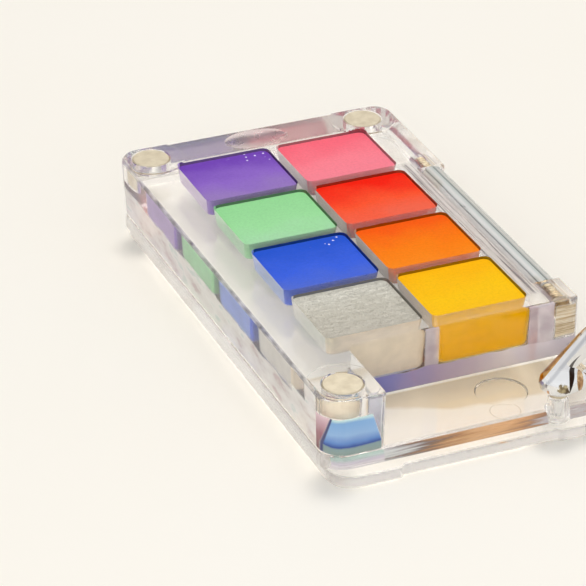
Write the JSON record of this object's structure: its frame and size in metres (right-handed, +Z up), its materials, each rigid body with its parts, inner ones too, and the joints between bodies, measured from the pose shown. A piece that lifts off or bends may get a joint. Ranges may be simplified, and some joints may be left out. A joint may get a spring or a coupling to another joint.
{
  "type": "watercolour palette",
  "caption": "Pocket watercolour palette: clear acrylic tray of paint wells with corner magnets, hinged over a clear mixing plate, and a chrome snap hook on a clear post.",
  "frame": {"origin": "underside of the base plate, below the middle of the tray", "axes": "+Z up, +Y to the back of the palette, +X to the hinged side; the mixing bay is in front, at -Y"},
  "size_m": [0.0727, 0.1121, 0.0179],
  "materials": {
    "clear_acrylic": "clear, polished",
    "paint_purple": "dried watercolour, chalky",
    "paint_mint": "dried watercolour, chalky",
    "paint_blue": "dried watercolour, chalky",
    "paint_silver": "dried watercolour with mica glitter",
    "paint_pink": "dried watercolour, chalky",
    "paint_red": "dried watercolour, chalky",
    "paint_orange": "dried watercolour, chalky",
    "paint_yellow": "dried watercolour, chalky",
    "magnet_nickel": "nickel plate, satin",
    "brass": "plain",
    "polished_chrome": "mirror polished",
    "spring_steel": "bright drawn"
  },
  "bodies": {
    "base": {"base_plate": "clear_acrylic", "hinge_barrel": "clear_acrylic", "hook_post": "clear_acrylic", "hook_washer": "brass", "hook_pivot": "polished_chrome"},
    "tray": {"pan_tray": "clear_acrylic", "paint_purple": "paint_purple", "paint_mint": "paint_mint", "paint_blue": "paint_blue", "paint_silver": "paint_silver", "paint_pink": "paint_pink", "paint_red": "paint_red", "paint_orange": "paint_orange", "paint_yellow": "paint_yellow", "magnet_back_left": "magnet_nickel", "magnet_back_right": "magnet_nickel", "magnet_front_left": "magnet_nickel", "hinge_pin_back": "brass", "hinge_pin_front": "brass"},
    "hook": {"hook_body": "polished_chrome", "gate_pin": "spring_steel", "gate_spring": "spring_steel"},
    "gate": {"hook_gate": "polished_chrome"}
  },
  "joints": [
    {"name": "tray_hinge", "type": "hinge", "parent": "base", "child": "tray", "pos_m": [0.0278, 0, 0.0146], "axis": [0, 1, 0], "range_deg": [0, 180]},
    {"name": "hook_swivel", "type": "hinge", "parent": "base", "child": "hook", "pos_m": [0.0179, -0.0512, 0.0107], "axis": [0, 0, 1], "range_deg": [-150, 0]},
    {"name": "gate_pivot", "type": "hinge", "parent": "hook", "child": "gate", "pos_m": [0.03613, -0.04892, 0.0107], "axis": [0, 0, -1], "range_deg": [0, 10], "stiffness_Nm_per_rad": 0.02, "springref_deg": -17.19}
  ]
}
